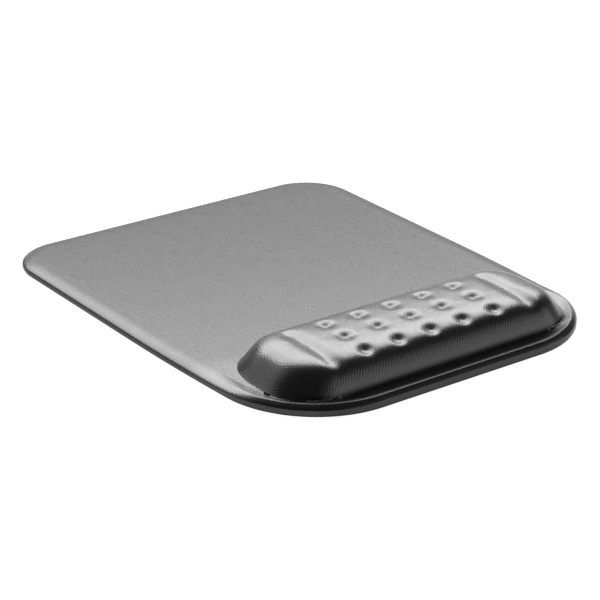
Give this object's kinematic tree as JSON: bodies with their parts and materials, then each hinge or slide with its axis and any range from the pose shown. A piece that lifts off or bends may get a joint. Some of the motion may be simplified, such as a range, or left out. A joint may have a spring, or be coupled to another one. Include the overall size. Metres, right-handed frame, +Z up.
{
  "type": "mouse mat with wrist rest",
  "caption": "Rounded fabric mouse mat with a raised, dimpled wrist rest along its near edge and a non-slip base.",
  "frame": {"origin": "middle of the outline, on the surface the mat lies on", "axes": "+Z up from the table, +Y away from the user, so the rest lies along X at the -Y end"},
  "size_m": [0.2, 0.244, 0.0182],
  "materials": {
    "knit_cover": "fine twilled stretch knit in charcoal, soft sheen",
    "cushion_foam": "moulded soft foam, fine closed skin",
    "core_foam": "closed-cell foam sheet, matt",
    "bond_film": "thin milky hot-melt film",
    "nonslip_rubber": "matt black, fine grip texture on the underside"
  },
  "bodies": {
    "root": {"cover_fabric": "knit_cover", "cover_bond_film": "bond_film", "wrist_cushion": "cushion_foam", "cushion_bond_film": "bond_film", "mat_core": "core_foam", "base_bond_film": "bond_film", "nonslip_base": "nonslip_rubber"}
  },
  "joints": []
}
